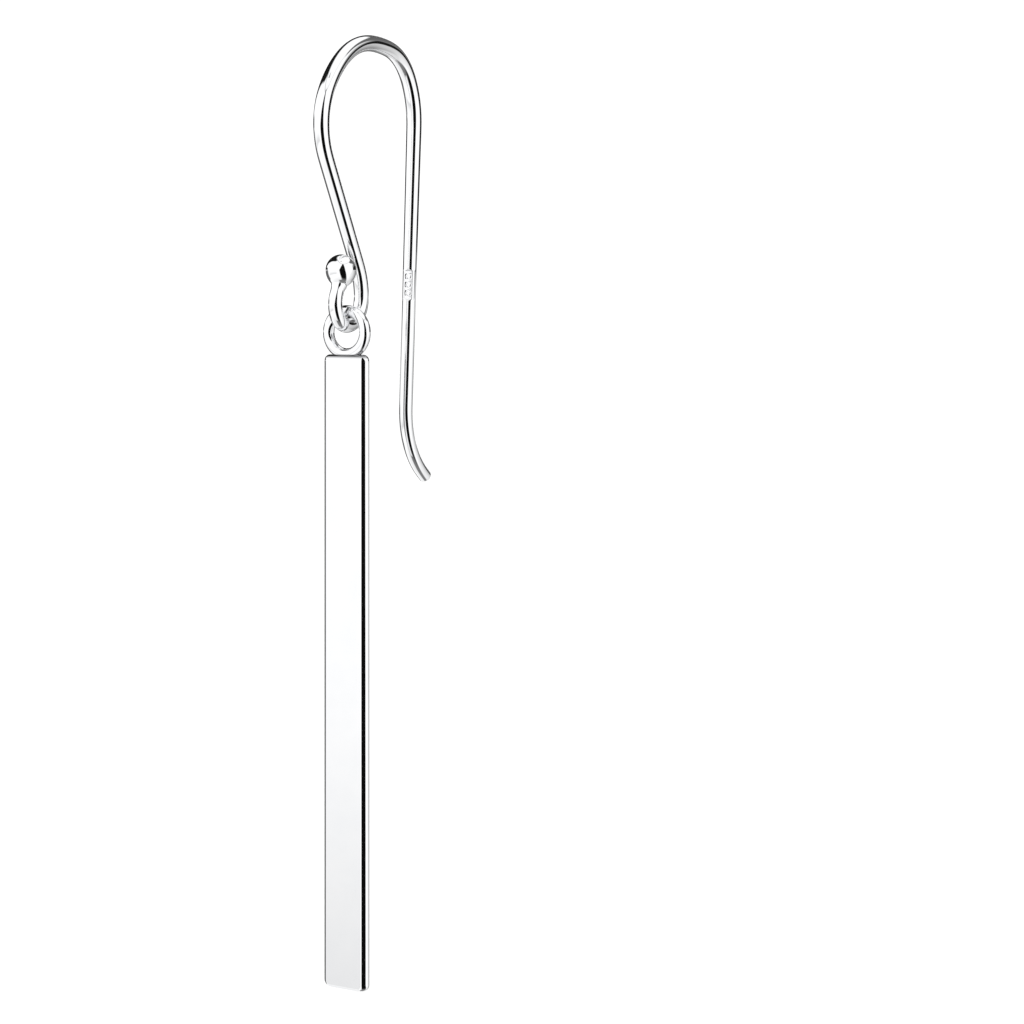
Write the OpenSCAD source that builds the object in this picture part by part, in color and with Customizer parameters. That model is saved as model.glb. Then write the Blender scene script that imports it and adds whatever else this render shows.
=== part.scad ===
// Bar drop earring: a bent wire hook for the ear lobe and a flat bar hanging from its loop by a soldered ring.
// Lengths are in millimetres and angles in degrees.
// The hook lies in the YZ plane. The front of the earring faces -Y and the tail of the hook is behind, at +Y.
// The origin is the inside top of the arch, where the hook rests in the lobe.

/* [View] */
// Which node is drawn

/* [Wire] */
// Radius of the wire round the arch
arch_wire_radius = 0.44;
// Radius of the wire in the loop
loop_wire_radius = 0.405;
// Radius of the wire at the tail
tail_wire_radius = 0.37;
// How much the wire swells where two bends meet
joint_swell = 0.006;
// How far each bend stops short of the joint, inside that swelling
joint_trim = 0.02;
joint_seam_angle = 40;

/* [Arch, from its top towards the front] */
arch_front_radius = 4.7;
arch_front_angle = 37;
arch_front_flat_radius = 6.2;
arch_front_flat_angle = 22;
shoulder_front_radius = 3.75;
shoulder_front_angle = 59.4;

/* [Front leg and loop] */
front_leg_length = 6.33;
knee_radius = 3.7;
knee_angle = 28.85;
// The loop is wider behind its lowest point than in front of it
loop_rear_radius = 1.45;
loop_front_radius = 1.09;
loop_front_angle = 95.9;
neck_radius = 3.2;
neck_angle = 14;
// Straight wire that ends in the middle of the ball
neck_length = 1.07;
ball_radius = 0.82;
// The ball tapers to the wire over this length from its middle
taper_length = 1;
// How deep the wide end of the taper sits under the ball's surface
taper_sink = 0.005;

/* [Arch, from its top towards the tail] */
arch_rear_flat_radius = 9;
arch_rear_flat_angle = 11;
shoulder_rear_radius = 2.95;
shoulder_rear_angle = 47.5;
arch_rear_radius = 4.75;
arch_rear_angle = 34.7;

/* [Rear leg and tail] */
rear_leg_length = 15.64;
tail_bend_radius = 4.2;
tail_bend_angle = 56;
tail_length = 0.55;

/* [Ring] */
// Radius of the ring to the middle of its wire
ring_radius = 1.15;
ring_wire_radius = 0.31;
// How far the bottom of the ring is sunk into the bar
ring_sink = 0.31;
// Air between the ring and the loop it hangs in
hang_gap = 0.04;

/* [Bar] */
bar_width = 2.75;
bar_thickness = 0.7;
bar_length = 33.78;
// Rounding of the long edges, as a share of the thickness. At 0.5 the sides would be half round.
bar_edge_share = 0.47;
// Rounding of the edges at the two ends, as a share of the thickness
bar_end_share = 0.34;
// Rounding of the four corners of the face
bar_corner_radius = 0.34;

/* [Hidden] */
$fn = 96;
SILVER = [0.86, 0.87, 0.88];

// Middle of an arc that starts at point p with heading h. A positive turn bends to the left.
function arc_middle(p, h, r, turn) = p + sign(turn) * r * [-sin(h), cos(h)];

// Point where the same arc ends
function arc_end(p, h, r, turn) =
    arc_middle(p, h, r, turn) - sign(turn) * r * [-sin(h + turn), cos(h + turn)];

// Point at a length along a heading
function line_end(p, h, length) = p + length * [cos(h), sin(h)];

// Points of the front run, as [y, z], with the heading at each
top_point = [0, arch_wire_radius];
front_heading_0 = 180;
front_point_1 = arc_end(top_point, front_heading_0, arch_front_radius, arch_front_angle);
front_heading_1 = front_heading_0 + arch_front_angle;
front_point_2 = arc_end(front_point_1, front_heading_1, arch_front_flat_radius, arch_front_flat_angle);
front_heading_2 = front_heading_1 + arch_front_flat_angle;
front_point_3 = arc_end(front_point_2, front_heading_2, shoulder_front_radius, shoulder_front_angle);
front_heading_3 = front_heading_2 + shoulder_front_angle;
front_point_4 = line_end(front_point_3, front_heading_3, front_leg_length);
front_point_5 = arc_end(front_point_4, front_heading_3, knee_radius, -knee_angle);
front_heading_5 = front_heading_3 - knee_angle;
loop_rear_angle = front_heading_5 - 180;
loop_low_point = arc_end(front_point_5, front_heading_5, loop_rear_radius, -loop_rear_angle);
front_point_6 = arc_end(loop_low_point, 180, loop_front_radius, -loop_front_angle);
front_heading_6 = 180 - loop_front_angle;
front_point_7 = arc_end(front_point_6, front_heading_6, neck_radius, -neck_angle);
front_heading_7 = front_heading_6 - neck_angle;
ball_point = line_end(front_point_7, front_heading_7, neck_length);

// Points of the rear run
rear_heading_1 = -arch_rear_flat_angle;
rear_point_1 = arc_end(top_point, 0, arch_rear_flat_radius, -arch_rear_flat_angle);
rear_heading_2 = rear_heading_1 - shoulder_rear_angle;
rear_point_2 = arc_end(rear_point_1, rear_heading_1, shoulder_rear_radius, -shoulder_rear_angle);
rear_heading_3 = rear_heading_2 - arch_rear_angle;
rear_point_3 = arc_end(rear_point_2, rear_heading_2, arch_rear_radius, -arch_rear_angle);
rear_point_4 = line_end(rear_point_3, rear_heading_3, rear_leg_length);
rear_point_5 = arc_end(rear_point_4, rear_heading_3, tail_bend_radius, tail_bend_angle);
rear_heading_5 = rear_heading_3 + tail_bend_angle;

// The ring and the bar hang from the lowest point of the loop
loop_inside_z = loop_low_point[1] + loop_wire_radius;
ring_y = loop_low_point[0];
ring_z = loop_inside_z + hang_gap + ring_wire_radius - ring_radius;
bar_top_z = ring_z - ring_radius - ring_wire_radius + ring_sink;

bar_edge_radius = bar_edge_share * bar_thickness;
bar_end_radius = bar_end_share * bar_thickness;

// Turns a drawing from the XY plane into the YZ plane
module in_hook_plane() {
    rotate([90, 0, 90])
        children();
}

// Wire bent round an arc
module wire_arc(p, h, r, turn, wire_radius) {
    middle = arc_middle(p, h, r, turn);
    trim_turn = joint_trim / r * 180 / PI;
    start = turn > 0 ? h - 90 : h + 90 + turn;
    translate([middle[0], middle[1], 0])
        rotate([0, 0, start + trim_turn])
            rotate_extrude(angle = abs(turn) - 2 * trim_turn)
                translate([r, 0])
                    circle(r = wire_radius);
}

// Straight wire that may thin along its length
module wire_line(p, h, length, start_radius, end_radius) {
    translate([p[0], p[1], 0])
        rotate([0, 0, h])
            rotate([0, 90, 0])
                translate([0, 0, joint_trim])
                    cylinder(h = length - 2 * joint_trim, r1 = start_radius, r2 = end_radius);
}

// Small sphere that closes the wire between two bends, turned about the wire so that no seams fall together
module wire_joint(p, h, wire_radius) {
    translate([p[0], p[1], 0])
        rotate([0, 0, h])
            rotate([0, 90, 0])
                rotate([0, 0, joint_seam_angle])
                    sphere(r = wire_radius + joint_swell);
}

// Arch that goes through the lobe
module arch_wire() {
    wire_arc(top_point, front_heading_0, arch_front_radius, arch_front_angle, arch_wire_radius);
    wire_arc(front_point_1, front_heading_1, arch_front_flat_radius, arch_front_flat_angle, arch_wire_radius);
    wire_arc(front_point_2, front_heading_2, shoulder_front_radius, shoulder_front_angle, arch_wire_radius);
    wire_arc(top_point, 0, arch_rear_flat_radius, -arch_rear_flat_angle, arch_wire_radius);
    wire_arc(rear_point_1, rear_heading_1, shoulder_rear_radius, -shoulder_rear_angle, arch_wire_radius);
    wire_arc(rear_point_2, rear_heading_2, arch_rear_radius, -arch_rear_angle, arch_wire_radius);
    wire_joint(top_point, front_heading_0, arch_wire_radius);
    wire_joint(front_point_1, front_heading_1, arch_wire_radius);
    wire_joint(front_point_2, front_heading_2, arch_wire_radius);
    wire_joint(front_point_3, front_heading_3, arch_wire_radius);
    wire_joint(rear_point_1, rear_heading_1, arch_wire_radius);
    wire_joint(rear_point_2, rear_heading_2, arch_wire_radius);
    wire_joint(rear_point_3, rear_heading_3, arch_wire_radius);
}

// Front leg, knee, open loop and neck up to the ball
module front_wire() {
    wire_line(front_point_3, front_heading_3, front_leg_length, arch_wire_radius, loop_wire_radius);
    wire_arc(front_point_4, front_heading_3, knee_radius, -knee_angle, loop_wire_radius);
    wire_arc(front_point_5, front_heading_5, loop_rear_radius, -loop_rear_angle, loop_wire_radius);
    wire_arc(loop_low_point, 180, loop_front_radius, -loop_front_angle, loop_wire_radius);
    wire_arc(front_point_6, front_heading_6, neck_radius, -neck_angle, loop_wire_radius);
    wire_line(front_point_7, front_heading_7, neck_length, loop_wire_radius, loop_wire_radius);
    wire_joint(front_point_4, front_heading_3, loop_wire_radius);
    wire_joint(front_point_5, front_heading_5, loop_wire_radius);
    wire_joint(loop_low_point, 180, loop_wire_radius);
    wire_joint(front_point_6, front_heading_6, loop_wire_radius);
    wire_joint(front_point_7, front_heading_7, loop_wire_radius);
}

// Ball melted on the front end of the wire, with a taper that leaves it at a tangent and runs into the wire
module ball_end() {
    touch = atan2(loop_wire_radius, taper_length)
        + acos(ball_radius / norm([loop_wire_radius, taper_length]));
    start = ball_radius * cos(touch);
    slope = cos(touch) / sin(touch);
    translate([ball_point[0], ball_point[1], 0])
        rotate([0, 0, front_heading_7])
            rotate([0, -90, 0]) {
                sphere(r = ball_radius);
                translate([0, 0, start])
                    cylinder(
                        h = taper_length + joint_trim - start,
                        r1 = ball_radius * sin(touch) - taper_sink,
                        r2 = loop_wire_radius - joint_trim * slope
                    );
            }
}

// Rear leg, outward bend and square cut tail
module rear_wire() {
    wire_line(rear_point_3, rear_heading_3, rear_leg_length, arch_wire_radius, tail_wire_radius);
    wire_arc(rear_point_4, rear_heading_3, tail_bend_radius, tail_bend_angle, tail_wire_radius);
    wire_line(rear_point_5, rear_heading_5, tail_length, tail_wire_radius, tail_wire_radius);
    wire_joint(rear_point_4, rear_heading_3, tail_wire_radius);
    wire_joint(rear_point_5, rear_heading_5, tail_wire_radius);
}

module ear_hook() {
    color(SILVER)
        in_hook_plane()
            union() {
                arch_wire();
                front_wire();
                ball_end();
                rear_wire();
            }
}

// Rectangle with rounded corners, drawn about its middle
module rounded_rectangle(width, height, corner) {
    union() {
        square([width - 2 * corner, height], center = true);
        square([width, height - 2 * corner], center = true);
        for (side_x = [-1, 1])
            for (side_y = [-1, 1])
                translate([side_x * (width / 2 - corner), side_y * (height / 2 - corner)])
                    circle(r = corner);
    }
}

// Flat bar with rounded corners, rounded long edges and softened ends
module bar() {
    translate([0, ring_y, bar_top_z - bar_length / 2])
        intersection() {
            rotate([90, 0, 0])
                linear_extrude(height = bar_thickness, center = true)
                    rounded_rectangle(bar_width, bar_length, bar_corner_radius);
            linear_extrude(height = bar_length, center = true)
                rounded_rectangle(bar_width, bar_thickness, bar_edge_radius);
            rotate([90, 0, 90])
                linear_extrude(height = bar_width, center = true)
                    rounded_rectangle(bar_thickness, bar_length, bar_end_radius);
        }
}

// Closed ring soldered upright on the top end of the bar, parallel to the face
module top_ring() {
    translate([0, ring_y, ring_z])
        rotate([90, 0, 0])
            rotate_extrude()
                translate([ring_radius, 0])
                    circle(r = ring_wire_radius);
}

module bar_drop() {
    color(SILVER)
        union() {
            bar();
            top_ring();
        }
}

ear_hook();
bar_drop();
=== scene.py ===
# Bar drop earring in polished silver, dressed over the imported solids.
# Blender works in metres. Sizes named here are in millimetres, as in the part's source,
# and MM turns them into metres. Angles are in degrees.
# The hook lies in the YZ plane with its front towards -Y.
# The origin is the inside top of its arch.

import math

import bpy
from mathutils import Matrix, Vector


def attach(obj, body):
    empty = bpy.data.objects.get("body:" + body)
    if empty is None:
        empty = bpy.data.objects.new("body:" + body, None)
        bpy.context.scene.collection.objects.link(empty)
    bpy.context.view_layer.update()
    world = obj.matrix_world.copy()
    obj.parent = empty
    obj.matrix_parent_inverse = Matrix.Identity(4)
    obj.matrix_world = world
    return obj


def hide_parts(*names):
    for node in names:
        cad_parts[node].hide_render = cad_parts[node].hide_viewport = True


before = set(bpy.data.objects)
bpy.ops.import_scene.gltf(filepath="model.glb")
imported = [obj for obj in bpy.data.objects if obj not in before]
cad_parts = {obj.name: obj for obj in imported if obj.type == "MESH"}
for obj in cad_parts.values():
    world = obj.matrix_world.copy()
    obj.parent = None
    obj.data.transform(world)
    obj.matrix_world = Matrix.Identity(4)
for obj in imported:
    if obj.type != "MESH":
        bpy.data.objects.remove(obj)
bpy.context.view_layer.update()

MM = 0.001

# Camera of the photograph: it stands level, to the right of the front, with its eye near the ring
CAMERA_AZIMUTH = 33
CAMERA_DISTANCE = 130.585
CAMERA_AXIS_Y = -2.47
CAMERA_EYE_Z = -13.011
PICTURE_SIDE = 1024
FOCAL_PIXELS = 2450
AXIS_PIXEL_X = 347
HORIZON_PIXEL_Y = 292
SENSOR_WIDTH = 36
CLOSEST_SEEN = 1
FARTHEST_SEEN = 50000

# Wire of the hook, from its start inside the ball to the tail:
# (radius of the bend, angle turned), or (None, length) where it is straight
WIRE_RUN = [
    (None, 0.75),
    (2.4, 16),
    (1.09, 106),
    (1.45, 89.55),
    (3.7, 28.85),
    (None, 6.33),
    (3.75, -59.4),
    (6.2, -22),
    (4.7, -37),
    (9, -11),
    (2.95, -47.5),
    (4.75, -34.7),
    (None, 15.64),
    (4.2, 56),
    (None, 0.55),
]
WIRE_START_HEADING = 238
# The top of the arch lies at the end of this line of the run
LINES_TO_TOP = 9
ARCH_WIRE_RADIUS = 0.44
WIRE_STEP = 0.1
WIRE_SIDES = 128

# Wire radius at lengths from the wire's start
WIRE_RADIUS_MARKS = [
    (0, 0.355),
    (1.2, 0.36),
    (2.4, 0.405),
    (7.8, 0.405),
    (14, 0.42),
    (18.8, 0.44),
    (27.3, 0.44),
    (30.3, 0.425),
    (34.8, 0.4),
    (39.8, 0.382),
    (45.8, 0.371),
    (50.6, 0.357),
]

# Corners in the wire's heading and radius are rounded off by averages this far each way
HEADING_EASING = 0.45
RADIUS_EASING = 1.2
EASING_SAMPLES = 12

# Ball melted on the wire's end, a little longer below its middle
BALL_RADIUS = 0.83
BALL_MIDDLE = (-3.04, -11.842)
BALL_STRETCH = 1.12
BALL_STEPS = 90

# Small swelling of the wire where it leaves the ball
NECK_SWELL = 0.07
NECK_PLACE = 0.6
NECK_REACH = 0.2
NECK_END = 1.4
NECK_STEPS = 56

# Square end of the tail, with a rounded rim
TAIL_ROUNDING = 0.07
TAIL_STEPS = 8

# Flat struck place on the rear leg. It faces forwards, turned a little towards +X,
# and the metal bulges beside it
STAMP_MIDDLE = 39.07
STAMP_LENGTH = 1.5
STAMP_DEPTH = 0.06
STAMP_RUN_OUT = 0.12
STAMP_FACING = 20
STAMP_HALF_ANGLE = 80
STAMP_BULGE = 0.014
STAMP_BULGE_ANGLE = 44
STAMP_BULGE_SPREAD = 13
STAMP_STEP = 0.02
STAMP_STEP_MARGIN = 0.2

# Three plain ring marks on the struck place
MARK_PLACES = [-0.46, 0, 0.46]
MARK_RADIUS = 0.16
MARK_DEPTH = 0.013
MARK_WIDTH = 0.035

BAR_LENGTH = 33.753
BAR_WIDTH = 2.75
BAR_THICKNESS = 0.7
BAR_EDGE_RADIUS = 0.345
BAR_END_HEIGHT = 0.14
BAR_END_DEPTH = 0.11
BAR_CORNER_RADIUS = 0.34
# Where an edge is flatter: middle angle, spread of angles and strength
SIDE_BEVEL = (42, 13, 2.2)
END_BEVEL = (43, 7, 12)

# How close the points of the bar are. Guard points beside each rounding keep its flats flat
EDGE_STEPS = 36
CORNER_STEPS = 20
MIDDLE_STEPS = 24
MIDDLE_MARGIN = 0.5
FLAT_GUARD = 0.03
SMALLEST_STEP = 0.0008

RING_RADIUS = 1.15
RING_WIRE_RADIUS = 0.31
RING_SINK = 0.283
RING_STEPS = 144
RING_SIDES = 64

# The ring hangs on the wire of the hook's loop, with a little air between them
LOOP_WIRE_RADIUS = 0.405
LOOP_LOW_POINT = (-2.49, -14.775)
HANG_GAP = 0.04
RING_Z = LOOP_LOW_POINT[1] + LOOP_WIRE_RADIUS + HANG_GAP + RING_WIRE_RADIUS - RING_RADIUS
BAR_TOP_Z = RING_Z - RING_RADIUS - RING_WIRE_RADIUS + RING_SINK

# Painted shade: a dark line along the top edge of the bar, where the ring meets it, by depth under
# the top
JOINT_SHADE_START = (-0.03, 0.01)
JOINT_SHADE_DEPTH = 0.07
JOINT_SHADE_FADE = 0.22
JOINT_SHADE_STRENGTH = 0.85
JOINT_SHADE_TONE = (0.13, 0.13, 0.135, 1)

SILVER_DARKER = (0.935, 0.942, 0.955, 1)
SILVER_LIGHTER = (0.965, 0.968, 0.975, 1)
# Patterns in the silver: waves to the metre and detail, and the values between which they act
TONE_NOISE = (450, 3)
TONE_RANGE = (0.3, 0.7)
HAZE_NOISE = (1400, 4)
HAZE_RANGE = (0.3, 0.75)
LINE_NOISE = (26000, 2)
LINE_RANGE = (0.45, 0.8)
WAVE_NOISE = (650, 1)
# The polishing lines have only this share of their waves in height, so they are drawn out
LINE_STRETCH = 0.04
WAVE_HEIGHT = 0.0025
LINE_HEIGHT = 0.00006
HAZE_ROUGHNESS = (0.025, 0.05)
LINE_ROUGHNESS = 0.02
BOUNCE_ROUGHNESS = 0.3

FLOOR_REACH = 3000
FLOOR_Z = -78
PAPER_DARKER = (0.95, 0.95, 0.95, 1)
PAPER_LIGHTER = (0.97, 0.97, 0.97, 1)
GRAIN_NOISE = (60, 5)

# The studio's white, as seen directly and by matt surfaces, and its soft boxes in the silver
PLAIN_WHITE = 1.1
SOFT_BOX = 1.08


def level(marks, place):
    """Value at a place on a line drawn through (place, value) marks."""
    if place <= marks[0][0]:
        return marks[0][1]
    for (start, low), (end, high) in zip(marks, marks[1:]):
        if place <= end:
            return low + (high - low) * (place - start) / (end - start)
    return marks[-1][1]


def eased(marks, place, window):
    """The same value averaged up to a window each way, which rounds off the line's corners."""
    total = 0
    for i in range(EASING_SAMPLES):
        total += level(marks, place + window * ((i + 0.5) / EASING_SAMPLES * 2 - 1))
    return total / EASING_SAMPLES


def steps(start, end, count):
    """Values from start to end, both included."""
    return [start + (end - start) * i / count for i in range(count + 1)]


def smooth(value, start, end):
    """Smooth change from 0 to 1 as value goes from start to end."""
    share = min(1, max(0, (value - start) / (end - start)))
    return share * share * (3 - 2 * share)


def heading_marks():
    """Headings at the joints of the wire's run, with the lengths to its top and to its end."""
    marks = [(0, WIRE_START_HEADING)]
    length = 0
    heading = WIRE_START_HEADING
    top = 0
    for number, (radius, amount) in enumerate(WIRE_RUN):
        if radius is None:
            length += amount
        else:
            length += radius * abs(math.radians(amount))
            heading += amount
        marks.append((length, heading))
        if number == LINES_TO_TOP - 1:
            top = length
    return marks, top, length


HEADING_MARKS, TOP_LENGTH, WIRE_LENGTH = heading_marks()


def wire_points(places):
    """(y, z, heading) of the wire's middle at each place, with the arch's top over the origin."""
    fine = 0.01
    first = min(places)
    count = int((max(places) - first) / fine) + 2
    trail = []
    y = 0
    z = 0
    for i in range(count):
        heading = math.radians(eased(HEADING_MARKS, first + i * fine, HEADING_EASING))
        trail.append((y, z, heading))
        y += fine * math.cos(heading)
        z += fine * math.sin(heading)
    top = trail[int(round((TOP_LENGTH - first) / fine))]
    points = []
    for place in places:
        position = (place - first) / fine
        index = min(int(position), count - 2)
        part = position - index
        a = trail[index]
        b = trail[index + 1]
        y = a[0] + (b[0] - a[0]) * part - top[0]
        z = a[1] + (b[1] - a[1]) * part - top[1] + ARCH_WIRE_RADIUS
        points.append((y, z, a[2] + (b[2] - a[2]) * part))
    return points


def wire_radius(place):
    return eased(WIRE_RADIUS_MARKS, place, RADIUS_EASING)


def wire_stations():
    """(place, radius) of every ring of the wire, from inside the ball to the tail's end."""
    stations = [(0, 0)]
    for place in steps(0, NECK_END, NECK_STEPS):
        swell = (place - NECK_PLACE) / NECK_REACH
        stations.append((place, wire_radius(place) + NECK_SWELL * math.exp(-swell * swell)))

    stamp_start = STAMP_MIDDLE - STAMP_LENGTH / 2 - STAMP_STEP_MARGIN
    stamp_end = STAMP_MIDDLE + STAMP_LENGTH / 2 + STAMP_STEP_MARGIN
    tail_start = WIRE_LENGTH - TAIL_ROUNDING
    place = NECK_END + WIRE_STEP
    while place < tail_start - WIRE_STEP / 2:
        stations.append((place, wire_radius(place)))
        place += STAMP_STEP if stamp_start < place < stamp_end else WIRE_STEP

    flat = wire_radius(WIRE_LENGTH) - TAIL_ROUNDING
    for angle in steps(0, 90, TAIL_STEPS):
        turn = math.radians(angle)
        out = TAIL_ROUNDING * math.cos(turn)
        stations.append((tail_start + TAIL_ROUNDING * math.sin(turn), flat + out))
    stations.append((WIRE_LENGTH, flat / 2))
    stations.append((WIRE_LENGTH, 0))
    return stations


def ball_stations():
    """(drop, radius) of the rings of the ball, from top to bottom."""
    stations = []
    for angle in steps(0, 180, BALL_STEPS):
        turn = math.radians(angle)
        radius = 0 if angle in (0, 180) else BALL_RADIUS * math.sin(turn)
        drop = -BALL_RADIUS * math.cos(turn)
        stations.append((drop * BALL_STRETCH if drop > 0 else drop, radius))
    return stations


def stamped(place, angle, radius):
    """Radius of the wire in one direction at a place, where it may be struck and marked."""
    left = STAMP_LENGTH / 2 + STAMP_RUN_OUT - abs(place - STAMP_MIDDLE)
    if left < 0:
        return radius
    fade = smooth(left, 0, STAMP_RUN_OUT)
    away = (angle - math.radians(STAMP_FACING - 90) + math.pi) % (2 * math.pi) - math.pi
    edge = (math.degrees(abs(away)) - STAMP_BULGE_ANGLE) / STAMP_BULGE_SPREAD
    radius += STAMP_BULGE * fade * math.exp(-edge * edge)
    if abs(away) > math.radians(STAMP_HALF_ANGLE):
        return radius
    flat = radius - STAMP_DEPTH * fade
    radius = min(radius, flat / math.cos(away))
    across = radius * math.sin(away)
    for middle in MARK_PLACES:
        distance = math.hypot(place - STAMP_MIDDLE - middle, across)
        groove = (distance - MARK_RADIUS) / MARK_WIDTH
        radius -= MARK_DEPTH * fade * math.exp(-groove * groove)
    return radius


def add_mesh(name, points, faces):
    """A smooth shaded object from points in millimetres."""
    mesh = bpy.data.meshes.new(name)
    mesh.from_pydata([Vector(p) * MM for p in points], [], faces)
    mesh.validate()
    for polygon in mesh.polygons:
        polygon.use_smooth = True
    thing = bpy.data.objects.new(name, mesh)
    bpy.context.scene.collection.objects.link(thing)
    return thing


def bridge(faces, first, second, count):
    """Adds the quads between two rings of count points that start at those indices."""
    for i in range(count):
        j = (i + 1) % count
        faces.append((first + i, first + j, second + j, second + i))


def sweep(points, faces, rings):
    """Adds one closed skin from rings of (reach at each angle, middle y, middle z, heading).

    A ring without reaches is a single point.
    """
    skin = []
    for reaches, y, z, heading in rings:
        if reaches is None:
            skin.append((len(points), 1))
            points.append((0, y, z))
            continue
        skin.append((len(points), WIRE_SIDES))
        for i, reach in enumerate(reaches):
            angle = 2 * math.pi * i / WIRE_SIDES
            x = reach * math.cos(angle)
            out = reach * math.sin(angle)
            points.append((x, y - out * math.sin(heading), z + out * math.cos(heading)))
    for (first, first_count), (second, second_count) in zip(skin, skin[1:]):
        if first_count == 1:
            for i in range(WIRE_SIDES):
                faces.append((first, second + (i + 1) % WIRE_SIDES, second + i))
        elif second_count == 1:
            for i in range(WIRE_SIDES):
                faces.append((second, first + i, first + (i + 1) % WIRE_SIDES))
        else:
            bridge(faces, second, first, WIRE_SIDES)


def add_wire(points, faces):
    """The bent wire, with its struck place."""
    angles = [2 * math.pi * i / WIRE_SIDES for i in range(WIRE_SIDES)]
    stations = wire_stations()
    middles = wire_points([place for place, radius in stations])
    rings = []
    for (place, radius), (y, z, heading) in zip(stations, middles):
        reaches = None
        if radius > 0:
            reaches = [stamped(place, angle, radius) for angle in angles]
        rings.append((reaches, y, z, heading))
    sweep(points, faces, rings)


def add_ball(points, faces):
    """The ball, swept straight down."""
    rings = []
    for drop, radius in ball_stations():
        reaches = [radius] * WIRE_SIDES if radius > 0 else None
        rings.append((reaches, BALL_MIDDLE[0], BALL_MIDDLE[1] - drop, math.radians(270)))
    sweep(points, faces, rings)


def make_hook():
    """The bent wire with the ball melted on its front end."""
    points = []
    faces = []
    add_wire(points, faces)
    add_ball(points, faces)
    return add_mesh("silver_hook", points, faces)


def edge_profile(bevel_angle, spread, strength):
    """Points of a rounded edge, as shares of its width and depth, flatter near the bevel."""
    half_step = 90 / EDGE_STEPS / 2
    across = 0
    back = 0
    profile = [(0, 0)]
    for angle in steps(half_step, 90 - half_step, EDGE_STEPS - 1):
        off = (angle - bevel_angle) / spread
        length = 1 + strength * math.exp(-off * off)
        across += length * math.cos(math.radians(angle))
        back += length * math.sin(math.radians(angle))
        profile.append((across, back))
    return [(x / across, y / back) for x, y in profile]


SIDE_PROFILE = edge_profile(*SIDE_BEVEL)
END_PROFILE = edge_profile(*END_BEVEL)


def bar_section(half_width, half_thickness, edge):
    """Points of the bar's section in X and Y, with a second point close beside each rounding."""
    guard = min(FLAT_GUARD, (half_width - edge) / 3)
    quarter = [(half_width - edge - guard, -half_thickness)]
    for across, back in SIDE_PROFILE:
        quarter.append((half_width - edge + edge * across, -half_thickness + edge * back))
    section = []
    for side_x, side_y in [(1, -1), (1, 1), (-1, 1), (-1, -1)]:
        turned = [(side_x * x, -side_y * y) for x, y in quarter]
        if side_x * side_y > 0:
            turned.reverse()
        section += turned
    return section


def bar_heights():
    """Heights from the bar's middle, close together where its corners and ends are rounded."""
    half = BAR_LENGTH / 2
    corner = half - BAR_CORNER_RADIUS
    heights = steps(0, corner - MIDDLE_MARGIN, MIDDLE_STEPS) + [corner - FLAT_GUARD]
    for angle in steps(0, 90, CORNER_STEPS):
        heights.append(corner + BAR_CORNER_RADIUS * math.sin(math.radians(angle)))
    for outwards, inwards in END_PROFILE:
        heights.append(half - BAR_END_HEIGHT + BAR_END_HEIGHT * outwards)
    close = []
    for height in sorted(set(round(h, 4) for h in heights)):
        if not close or height - close[-1] > SMALLEST_STEP:
            close.append(height)
    return [-h for h in reversed(close) if h > 0] + close


def rounded_reach(reach, radius, height):
    """How far the bar reaches sideways at a height, where its outline is rounded with a radius."""
    past = abs(height) - (BAR_LENGTH / 2 - radius)
    if past <= 0:
        return reach
    return reach - radius + math.sqrt(max(0, radius * radius - past * past))


def add_bar(points, faces):
    """The flat bar, closed at both ends."""
    rings = []
    for height in bar_heights():
        half_width = rounded_reach(BAR_WIDTH / 2, BAR_CORNER_RADIUS, height)
        end_place = (abs(height) - BAR_LENGTH / 2) / BAR_END_HEIGHT + 1
        half_thickness = BAR_THICKNESS / 2 - BAR_END_DEPTH * level(END_PROFILE, end_place)
        edge = BAR_EDGE_RADIUS * half_thickness / (BAR_THICKNESS / 2)
        section = bar_section(half_width, half_thickness, edge)
        count = len(section)
        rings.append(len(points))
        z = BAR_TOP_Z - BAR_LENGTH / 2 + height
        for x, y in section:
            points.append((x, LOOP_LOW_POINT[0] + y, z))
    for low, high in zip(rings, rings[1:]):
        bridge(faces, low, high, count)
    faces.append(tuple(reversed(range(rings[0], rings[0] + count))))
    faces.append(tuple(range(rings[-1], rings[-1] + count)))


def add_ring(points, faces):
    """The closed ring of round wire."""
    start = len(points)
    for i in range(RING_STEPS):
        turn = 2 * math.pi * i / RING_STEPS
        for j in range(RING_SIDES):
            angle = 2 * math.pi * j / RING_SIDES
            reach = RING_RADIUS + RING_WIRE_RADIUS * math.cos(angle)
            y = LOOP_LOW_POINT[0] + RING_WIRE_RADIUS * math.sin(angle)
            points.append((reach * math.cos(turn), y, RING_Z + reach * math.sin(turn)))
    for i in range(RING_STEPS):
        first = start + i * RING_SIDES
        second = start + (i + 1) % RING_STEPS * RING_SIDES
        bridge(faces, first, second, RING_SIDES)


def joint_shade_share(depth):
    """How much of the painted shade's dark tone shows at a depth under the top of the bar."""
    return smooth(depth, *JOINT_SHADE_START) * (1 - smooth(depth, JOINT_SHADE_DEPTH, JOINT_SHADE_FADE))


def make_drop():
    """The bar with the soldered ring, as one piece. Its points carry the strength of the painted
    shade along the bar's top edge.
    """
    points = []
    faces = []
    add_bar(points, faces)
    add_ring(points, faces)
    drop = add_mesh("silver_bar_drop", points, faces)
    # Painted shade: a point attribute that darkens the silver just under the bar's top edge, where
    # the ring meets it
    painted_joint_shade = drop.data.attributes.new("painted_joint_shade", "FLOAT", "POINT")
    for number, (x, y, z) in enumerate(points):
        painted_joint_shade.data[number].value = JOINT_SHADE_STRENGTH * joint_shade_share(BAR_TOP_Z - z)
    return drop


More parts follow.
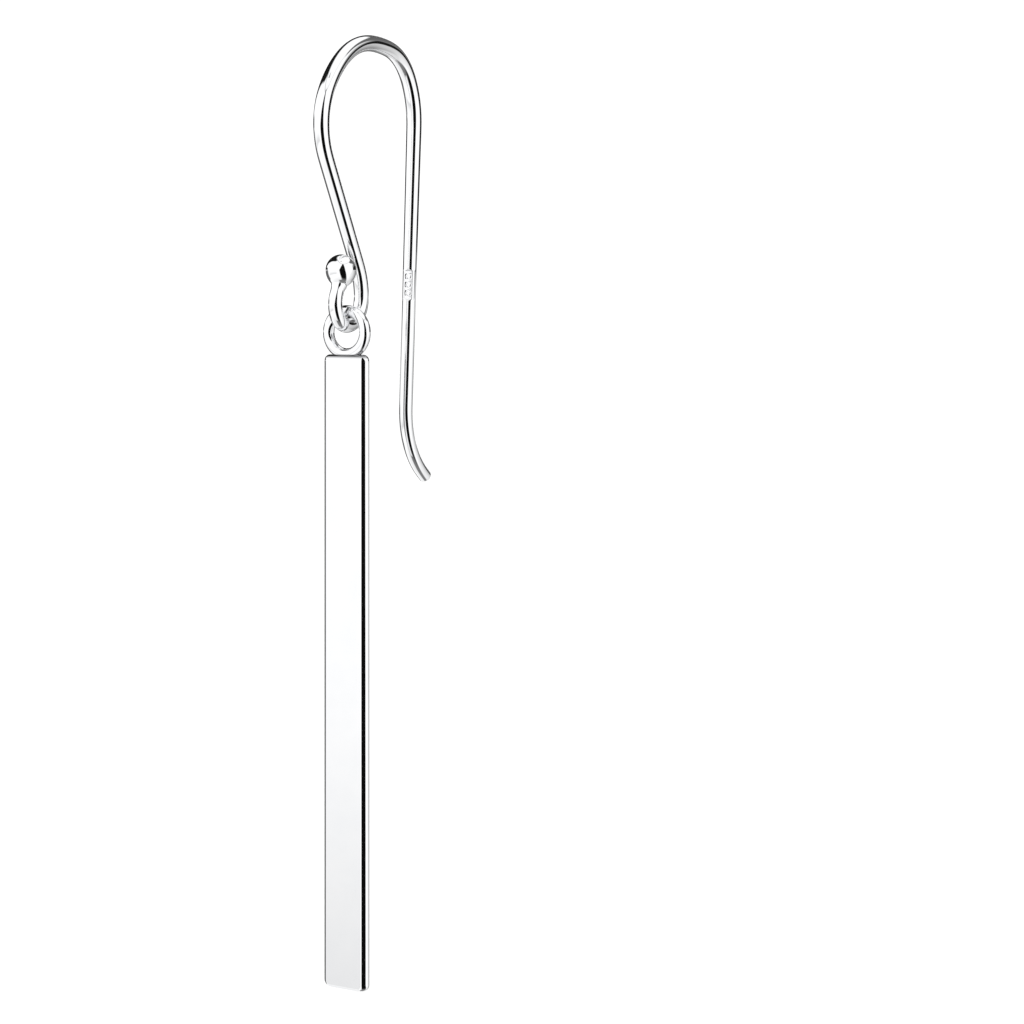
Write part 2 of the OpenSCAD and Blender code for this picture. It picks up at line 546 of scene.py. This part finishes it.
class Nodes:
    """Short calls that add linked nodes to the node tree of a new material or world."""

    def __init__(self, owner):
        owner.use_nodes = True
        self.tree = owner.node_tree
        self.tree.nodes.clear()

    def add(self, kind, **settings):
        node = self.tree.nodes.new(kind)
        for name, value in settings.items():
            setattr(node, name, value)
        return node

    def put(self, socket, value):
        """Links an output, or sets a plain value."""
        if isinstance(value, bpy.types.NodeSocket):
            self.tree.links.new(value, socket)
        else:
            socket.default_value = value

    def show(self, kind, shader):
        """Links a shader to an output node."""
        self.put(self.add(kind).inputs["Surface"], shader.outputs[0])

    def math(self, operation, *values):
        node = self.add("ShaderNodeMath", operation=operation)
        for i, value in enumerate(values):
            self.put(node.inputs[i], value)
        return node.outputs[0]

    def times(self, value, factor):
        return self.math("MULTIPLY", value, factor)

    def total(self, *values):
        result = values[0]
        for value in values[1:]:
            result = self.math("ADD", result, value)
        return result

    def ramp(self, value, start, end, low, high):
        """Smooth change from low to high as value goes from start to end."""
        node = self.add("ShaderNodeMapRange", interpolation_type="SMOOTHSTEP")
        for i, given in enumerate((value, start, end, low, high)):
            self.put(node.inputs[i], given)
        return node.outputs[0]

    def above(self, value, edge, soft):
        """1 where the value is above an edge, and 0 elsewhere."""
        return self.ramp(value, edge - soft, edge + soft, 0, 1)

    def below(self, value, edge, soft):
        """1 where the value is below an edge, and 0 elsewhere."""
        return self.ramp(value, edge - soft, edge + soft, 1, 0)

    def band(self, value, start, end, soft):
        """1 between start and end, and 0 outside."""
        return self.times(self.above(value, start, soft), self.below(value, end, soft))

    def patch(self, light, value, *masks):
        """The light, changed to a value where all the masks are 1."""
        share = masks[0]
        for mask in masks[1:]:
            share = self.times(share, mask)
        node = self.add("ShaderNodeMix", data_type="FLOAT")
        self.put(node.inputs[0], share)
        self.put(node.inputs[2], light)
        self.put(node.inputs[3], value)
        return node.outputs[0]

    def noise(self, place, scale, detail):
        node = self.add("ShaderNodeTexNoise")
        self.put(node.inputs["Vector"], place)
        self.put(node.inputs["Scale"], scale)
        self.put(node.inputs["Detail"], detail)
        return node.outputs[0]

    def tones(self, value, start, end, first, last):
        """Colour that changes from the first to the last as value goes from start to end."""
        node = self.add("ShaderNodeValToRGB")
        low, high = node.color_ramp.elements
        low.position = start
        low.color = first
        high.position = end
        high.color = last
        self.put(node.inputs[0], value)
        return node.outputs[0]

    def bump(self, height, distance):
        """A bump node, whose distance is given in millimetres."""
        node = self.add("ShaderNodeBump")
        self.put(node.inputs["Distance"], distance * MM)
        self.put(node.inputs["Height"], height)
        return node


def make_silver():
    """Hand polished silver, with faint waves, fine polishing lines, a slight change of tone and a
    painted dark line of shade along the bar's top edge.
    """
    material = bpy.data.materials.new("polished_silver")
    n = Nodes(material)
    place = n.add("ShaderNodeTexCoord").outputs["Object"]
    tone = n.tones(n.noise(place, *TONE_NOISE), *TONE_RANGE, SILVER_DARKER, SILVER_LIGHTER)

    # Painted shade: a dark line in the corner between the ring and the top edge of the bar
    painted_joint_shade = n.add("ShaderNodeAttribute", attribute_name="painted_joint_shade")
    shade = n.add("ShaderNodeMix", data_type="RGBA")
    n.put(shade.inputs[0], painted_joint_shade.outputs["Fac"])
    n.put(shade.inputs[6], tone)
    n.put(shade.inputs[7], JOINT_SHADE_TONE)

    # Haze and lines of the polish. Silver seen in silver is softer, as the marks on both add up
    stretch = n.add("ShaderNodeMapping")
    n.put(stretch.inputs["Vector"], place)
    n.put(stretch.inputs["Scale"], (1, 1, LINE_STRETCH))
    lines = n.noise(stretch.outputs[0], *LINE_NOISE)
    hazy = n.ramp(n.noise(place, *HAZE_NOISE), *HAZE_RANGE, *HAZE_ROUGHNESS)
    lined = n.ramp(lines, *LINE_RANGE, 0, LINE_ROUGHNESS)
    bounces = n.add("ShaderNodeLightPath").outputs["Ray Depth"]
    softened = n.ramp(bounces, 0, 1, 0, BOUNCE_ROUGHNESS)

    waves = n.bump(n.noise(place, *WAVE_NOISE), WAVE_HEIGHT)
    scratches = n.bump(lines, LINE_HEIGHT)
    n.put(scratches.inputs["Normal"], waves.outputs[0])

    shader = n.add("ShaderNodeBsdfPrincipled")
    n.put(shader.inputs["Metallic"], 1)
    n.put(shader.inputs["Base Color"], shade.outputs[2])
    n.put(shader.inputs["Roughness"], n.math("MAXIMUM", n.total(hazy, lined), softened))
    n.put(shader.inputs["Normal"], scratches.outputs[0])
    n.show("ShaderNodeOutputMaterial", shader)
    return material


def make_floor():
    """A wide floor of pale paper under the hanging earring, which the silver doesn't see."""
    far = FLOOR_REACH
    corners = [(x, y, FLOOR_Z) for x, y in [(-far, -far), (far, -far), (far, far), (-far, far)]]
    floor = add_mesh("pale_floor", corners, [(0, 1, 2, 3)])
    material = bpy.data.materials.new("pale_paper")
    n = Nodes(material)
    grain = n.noise(n.add("ShaderNodeTexCoord").outputs["Object"], *GRAIN_NOISE)
    shader = n.add("ShaderNodeBsdfDiffuse")
    n.put(shader.inputs["Color"], n.tones(grain, 0, 1, PAPER_DARKER, PAPER_LIGHTER))
    n.show("ShaderNodeOutputMaterial", shader)
    floor.data.materials.append(material)
    floor.visible_glossy = False
    return floor


def light_low_down(n, light, side, rise):
    """The light with the floor and what stands on the horizon.

    Side is the angle to the right of the camera's place, and rise the angle above the horizon.
    """
    # The floor at the left, which the bar's face mirrors, is dimmer close by
    left = n.band(side, -100, -34, 10)
    floor = n.band(rise, -21, -3, 2)
    light = n.patch(light, n.ramp(rise, -20, -7, 0.78, 1.06), left, floor)

    # Grey floor at the right and behind, darker the further behind but lighter straight below
    edge = n.ramp(rise, -20, -1, 78, 90)
    past_edge = n.above(n.math("SUBTRACT", side, edge), 0, 4)
    floor = n.below(rise, -0.5, 1)
    tone_behind = n.ramp(side, 82, 150, 0.92, 0.22)
    tone_below = n.ramp(rise, -45, -15, 0.75, 0)
    light = n.patch(light, n.math("MAXIMUM", tone_behind, tone_below), past_edge, floor)

    # Dark floor behind at the left, and a black gap above its horizon
    far_left = n.below(side, -114, 6)
    light = n.patch(light, 0.13, far_left, n.band(rise, -30, -0.5, 1))
    far_left = n.below(side, -118, 6)
    light = n.patch(light, 0.02, far_left, n.band(rise, 0.5, 8, 2))

    # Black strip above the horizon behind at the right, which turns white between two heights
    black_up_to = n.ramp(side, 106, 130, 6, 27)
    white_from = 33
    way_up = n.math("SUBTRACT", rise, black_up_to)
    share = n.math("DIVIDE", way_up, n.math("SUBTRACT", white_from, black_up_to))
    far_right = n.above(side, 98, 3)
    return n.patch(light, n.ramp(share, 0, 1, 0.01, SOFT_BOX), far_right, n.above(rise, 0, 1))


def light_overhead(n, light, x, y, z):
    """The light with the ceiling, where across and along are taken at one unit of height."""
    height = n.math("MAXIMUM", z, 0.02)
    across = n.math("DIVIDE", x, height)
    along = n.math("DIVIDE", y, height)
    overhead = n.above(z, 0.02, 0.01)

    # Black ceiling at the left
    slanted_edge = n.above(n.total(along, n.times(across, 1.36)), -1.1, 0.12)
    behind = n.above(along, -0.2, 0.1)
    left = n.below(across, 0.4, 0.1)
    light = n.patch(light, 0.01, slanted_edge, behind, left, overhead)

    # Dark grey ceiling at the right
    slanted_edge = n.above(n.math("SUBTRACT", along, n.times(across, 1.52)), -2.1, 0.15)
    behind = n.above(along, -0.05, 0.1)
    right = n.above(across, 0.3, 0.1)
    tone = n.ramp(across, 0.6, 2.8, 0.12, 0.2)
    light = n.patch(light, tone, slanted_edge, behind, right, overhead)

    # Round soft box straight overhead, with a thin grey rim
    middle_across = 0.31
    middle_along = 0.02
    half_width = 0.64
    reach_x = n.math("DIVIDE", n.math("SUBTRACT", across, middle_across), half_width)
    reach_y = n.math("SUBTRACT", along, middle_along)
    reach = n.total(n.times(reach_x, reach_x), n.times(reach_y, reach_y))
    light = n.patch(light, 0.55, n.band(reach, 0.95, 1.25, 0.08), overhead)
    return n.patch(light, SOFT_BOX, n.below(reach, 1, 0.08), overhead)


def light_ahead(n, light, x, ahead, z):
    """The light with the dark gap where the camera stands, which widens towards the floor.

    The gap is where its left, right and foot are all above 0.
    """
    left_lean = n.math("MINIMUM", n.times(z, -0.5), n.times(z, 0.25))
    left = n.total(x, n.times(ahead, 0.25), left_lean)
    low_left = n.total(x, n.times(ahead, 0.37), n.times(z, -0.093))
    low_left = n.math("SUBTRACT", low_left, n.ramp(ahead, 0.4, 0.65, 0, 1))
    left = n.math("MAXIMUM", left, low_left)

    right_lean = n.math("MAXIMUM", n.times(z, -0.22), n.times(z, -0.5))
    right = n.total(n.math("SUBTRACT", n.times(ahead, 0.59), x), right_lean)

    depth = n.math("MAXIMUM", n.times(z, -1), 0)
    foot = n.total(ahead, n.times(depth, 0.5))

    # Its edges are soft near the floor and hard higher up
    soft = n.ramp(z, -0.8, -0.3, 0.12, 0.02)
    start = n.times(soft, -1)
    left_mask = n.ramp(left, start, soft, 0, 1)
    right_mask = n.ramp(right, start, soft, 0, 1)
    tone = n.ramp(z, -0.95, -0.7, 0.2, 0.004)
    return n.patch(light, tone, left_mask, right_mask, n.above(foot, 0, 0.1))


def make_studio():
    """White studio. Polished metal sees soft boxes in it, with dark gaps between them."""
    world = bpy.data.worlds.new("soft_studio")
    bpy.context.scene.world = world
    n = Nodes(world)

    # Directions are turned, so that -Y points to where the photograph was taken from
    turned = n.add("ShaderNodeVectorRotate", rotation_type="Z_AXIS")
    n.put(turned.inputs["Vector"], n.add("ShaderNodeTexCoord").outputs["Generated"])
    n.put(turned.inputs["Angle"], math.radians(-CAMERA_AZIMUTH))
    parts = n.add("ShaderNodeSeparateXYZ")
    n.put(parts.inputs[0], turned.outputs[0])
    x, y, z = parts.outputs
    ahead = n.times(y, -1)
    side = n.math("DEGREES", n.math("ARCTAN2", x, ahead))
    rise = n.math("DEGREES", n.math("ARCSINE", z))

    # White soft boxes all round, a little dimmer straight below
    light = n.ramp(rise, -65, -35, 0.9, SOFT_BOX)
    light = light_low_down(n, light, side, rise)
    light = light_overhead(n, light, x, y, z)
    light = light_ahead(n, light, x, ahead, z)

    studio = n.add("ShaderNodeBackground")
    n.put(studio.inputs["Color"], light)
    plain = n.add("ShaderNodeBackground")
    n.put(plain.inputs["Color"], (1, 1, 1, 1))
    n.put(plain.inputs["Strength"], PLAIN_WHITE)
    both = n.add("ShaderNodeMixShader")
    n.put(both.inputs[0], n.add("ShaderNodeLightPath").outputs["Is Glossy Ray"])
    n.put(both.inputs[1], plain.outputs[0])
    n.put(both.inputs[2], studio.outputs[0])
    n.show("ShaderNodeOutputWorld", both)


def make_camera():
    """The photograph's camera, shifted instead of tilted so that upright lines stay upright."""
    data = bpy.data.cameras.new("photo_camera")
    data.sensor_width = SENSOR_WIDTH
    data.lens = FOCAL_PIXELS / PICTURE_SIDE * SENSOR_WIDTH
    data.shift_x = (PICTURE_SIDE / 2 - AXIS_PIXEL_X) / PICTURE_SIDE
    data.shift_y = (HORIZON_PIXEL_Y - PICTURE_SIDE / 2) / PICTURE_SIDE
    data.clip_start = CLOSEST_SEEN * MM
    data.clip_end = FARTHEST_SEEN * MM
    camera = bpy.data.objects.new("photo_camera", data)
    bpy.context.scene.collection.objects.link(camera)
    turn = math.radians(CAMERA_AZIMUTH)
    camera.location = (
        CAMERA_DISTANCE * math.sin(turn) * MM,
        (CAMERA_AXIS_Y - CAMERA_DISTANCE * math.cos(turn)) * MM,
        CAMERA_EYE_Z * MM,
    )
    camera.rotation_euler = (math.radians(90), 0, turn)
    bpy.context.scene.camera = camera


silver = make_silver()
hook = make_hook()
hook.data.materials.append(silver)
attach(hook, "hook")
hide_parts("ear_hook")

drop = make_drop()
drop.data.materials.append(silver)
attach(drop, "drop")
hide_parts("bar_drop")

make_floor()
make_studio()
make_camera()
bpy.context.scene.view_settings.view_transform = "Standard"
